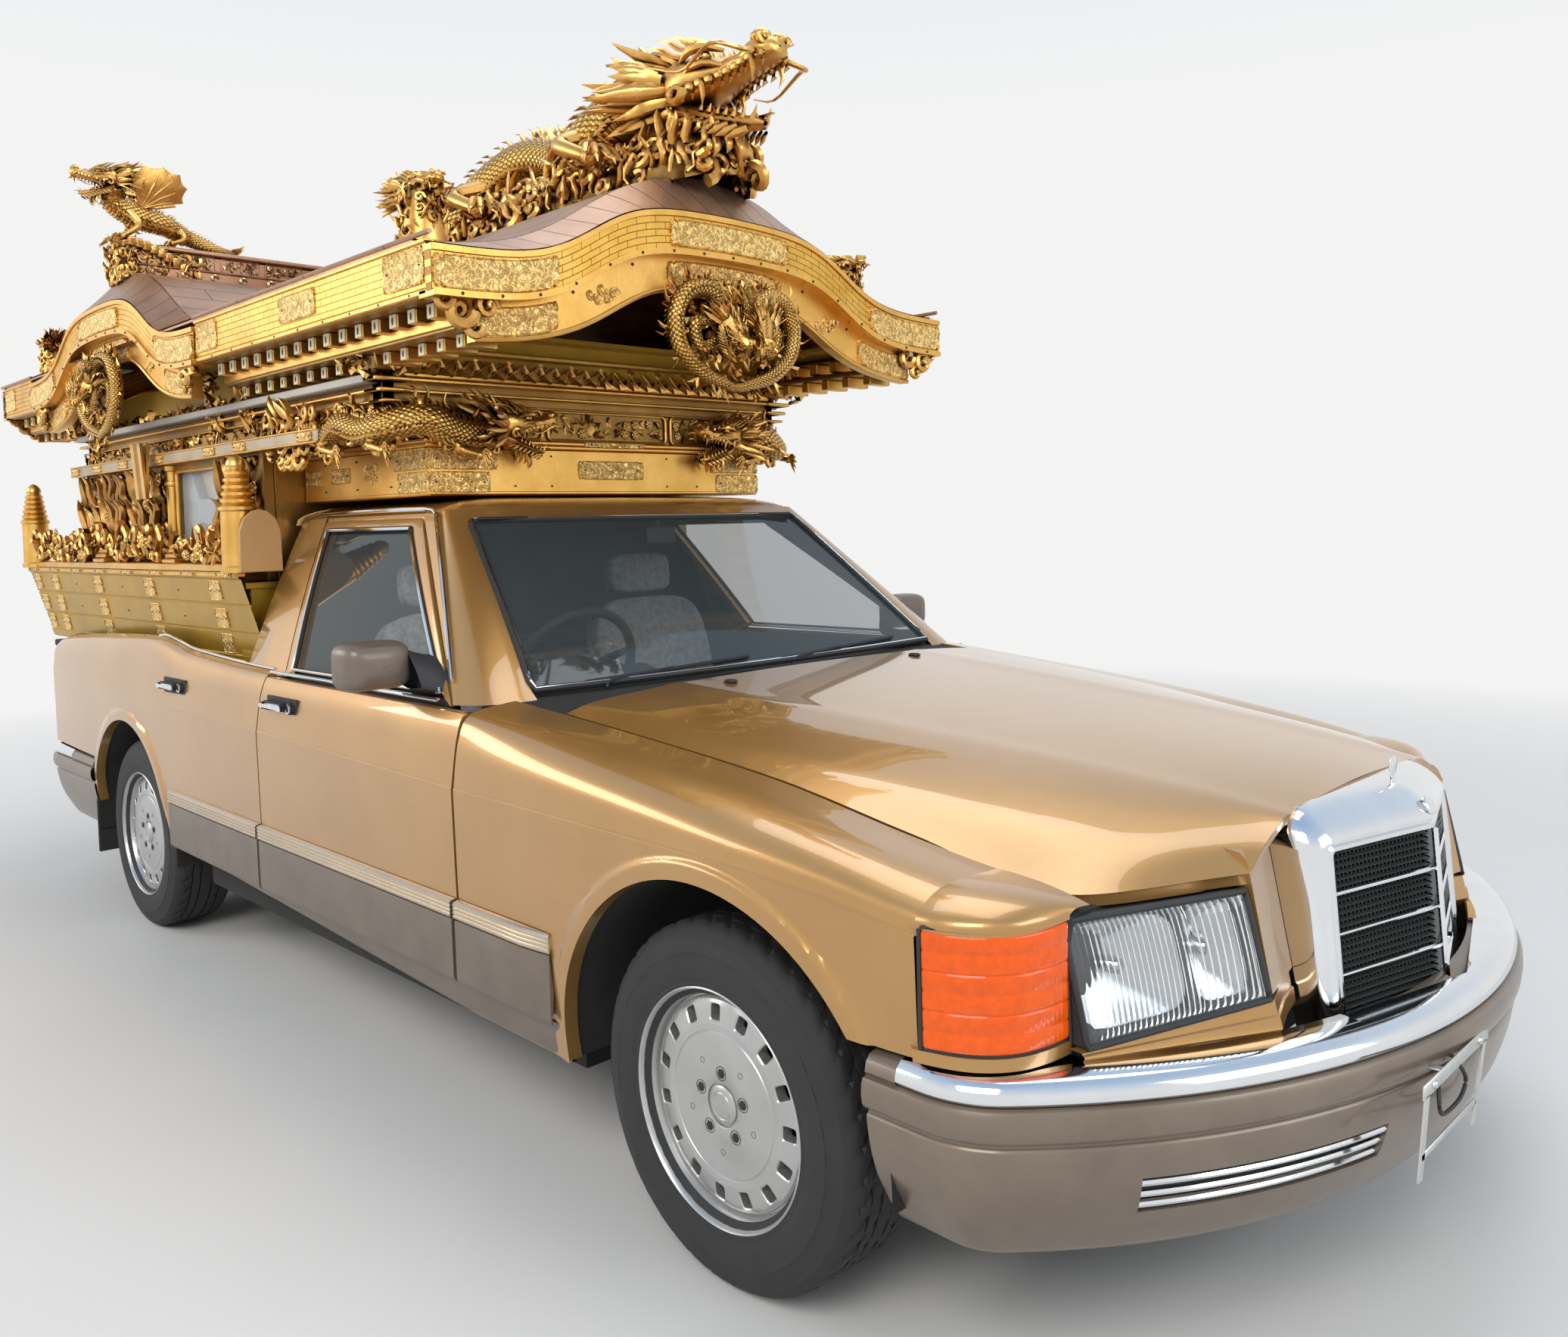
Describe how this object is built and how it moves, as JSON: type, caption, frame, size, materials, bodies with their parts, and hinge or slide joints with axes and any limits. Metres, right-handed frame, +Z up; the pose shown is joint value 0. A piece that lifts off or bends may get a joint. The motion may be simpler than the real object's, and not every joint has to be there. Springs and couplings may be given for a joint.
{
  "type": "hearse",
  "caption": "Ceremonial hearse: a gilded, carved shrine with a bow-shaped crossing roof on a lengthened two-door saloon cab.",
  "frame": {"origin": "on the ground, under the middle of the whole vehicle", "axes": "+X points forward, +Y to the vehicle's left, +Z up"},
  "size_m": [5.37, 2.02, 2.626],
  "materials": {
    "body_paint": "metallic",
    "cladding": "satin",
    "bumper_paint": "satin",
    "glass": "clear",
    "shrine_glass": "clear",
    "lamp_glass": "fluted",
    "amber_lens": "translucent",
    "red_lens": "translucent",
    "chrome_trim": "polished",
    "grille_dark": "satin",
    "tyre_rubber": "matte",
    "alloy": "satin",
    "steel_dark": "rough",
    "underseal": "matte",
    "bare_bracket": "brushed",
    "interior_trim": "matte",
    "seat_cloth": "woven",
    "ochre_lacquer": "lacquered",
    "gilt": "gilded",
    "carved_gilt": "gilded carving",
    "copper": "aged copper"
  },
  "bodies": {
    "body": {"front_body": "body_paint", "rear_body": "body_paint", "cab_top": "body_paint", "underbody": "underseal", "front_bumper": "bumper_paint", "rear_bumper": "bumper_paint", "side_mouldings": "cladding", "windshield": "glass", "headlamps": "lamp_glass", "indicators": "amber_lens", "tail_lamps": "red_lens", "plate_bracket": "bare_bracket", "front_crossmember": "steel_dark", "rear_axle": "steel_dark", "engine_block": "steel_dark", "exhaust": "steel_dark", "seats": "seat_cloth", "dashboard": "interior_trim", "tub": "ochre_lacquer", "coffin_rollers": "alloy", "deck_rail": "gilt", "walls": "carved_gilt", "shrine_windows": "shrine_glass", "roof_band": "gilt", "frieze": "carved_gilt", "gable_boards": "gilt", "eave_boards": "gilt", "roof_skin": "copper", "soffit": "ochre_lacquer", "ridge_boxes": "gilt", "roof_dragons": "carved_gilt", "guardian_heads": "carved_gilt", "pendants": "carved_gilt"},
    "knuckle_left": {"knuckle_left": "steel_dark"},
    "knuckle_right": {"knuckle_right": "steel_dark"},
    "wheel_front_left": {"wheel_front_left": "alloy", "tyre_front_left": "tyre_rubber"},
    "wheel_front_right": {"wheel_front_right": "alloy", "tyre_front_right": "tyre_rubber"},
    "wheel_rear_left": {"wheel_rear_left": "alloy", "tyre_rear_left": "tyre_rubber"},
    "wheel_rear_right": {"wheel_rear_right": "alloy", "tyre_rear_right": "tyre_rubber"},
    "door_left": {"door_left": "body_paint", "door_glass_left": "glass", "mirror_left": "cladding", "door_moulding_left": "cladding"},
    "door_right": {"door_right": "body_paint", "door_glass_right": "glass", "mirror_right": "cladding", "door_moulding_right": "cladding"},
    "hood": {"hood": "body_paint", "grille_shell": "chrome_trim", "grille_bars": "grille_dark"},
    "rear_door_left": {"rear_door_left": "carved_gilt"},
    "rear_door_right": {"rear_door_right": "carved_gilt"}
  },
  "joints": [
    {"name": "steer_left", "type": "hinge", "parent": "body", "child": "knuckle_left", "pos_m": [1.721, 0.6905, 0.318], "axis": [0, 0, 1], "range_deg": [-32, 32]},
    {"name": "steer_right", "type": "hinge", "parent": "body", "child": "knuckle_right", "pos_m": [1.721, -0.6905, 0.318], "axis": [0, 0, 1], "range_deg": [-32, 32]},
    {"name": "spin_front_left", "type": "hinge", "parent": "knuckle_left", "child": "wheel_front_left", "pos_m": [1.721, 0.7725, 0.318], "axis": [0, 1, 0], "continuous": true},
    {"name": "spin_front_right", "type": "hinge", "parent": "knuckle_right", "child": "wheel_front_right", "pos_m": [1.721, -0.7725, 0.318], "axis": [0, 1, 0], "continuous": true},
    {"name": "spin_rear_left", "type": "hinge", "parent": "body", "child": "wheel_rear_left", "pos_m": [-1.214, 0.7585, 0.318], "axis": [0, 1, 0], "continuous": true},
    {"name": "spin_rear_right", "type": "hinge", "parent": "body", "child": "wheel_rear_right", "pos_m": [-1.214, -0.7585, 0.318], "axis": [0, 1, 0], "continuous": true},
    {"name": "open_door_left", "type": "hinge", "parent": "body", "child": "door_left", "pos_m": [0.946, 0.919, 0.6], "axis": [0, 0, -1], "range_deg": [0, 68]},
    {"name": "open_door_right", "type": "hinge", "parent": "body", "child": "door_right", "pos_m": [0.946, -0.919, 0.6], "axis": [0, 0, 1], "range_deg": [0, 68]},
    {"name": "open_hood", "type": "hinge", "parent": "body", "child": "hood", "pos_m": [1.131, 0, 0.905], "axis": [0, -1, 0], "range_deg": [0, 45]},
    {"name": "open_rear_left", "type": "hinge", "parent": "body", "child": "rear_door_left", "pos_m": [-2.151, 0.485, 1.456], "axis": [0, 0, -1], "range_deg": [0, 100]},
    {"name": "open_rear_right", "type": "hinge", "parent": "body", "child": "rear_door_right", "pos_m": [-2.151, -0.485, 1.456], "axis": [0, 0, 1], "range_deg": [0, 100]}
  ],
  "couplings": [
    {"joint": "steer_right", "follows": "steer_left", "ratio": 1}
  ]
}
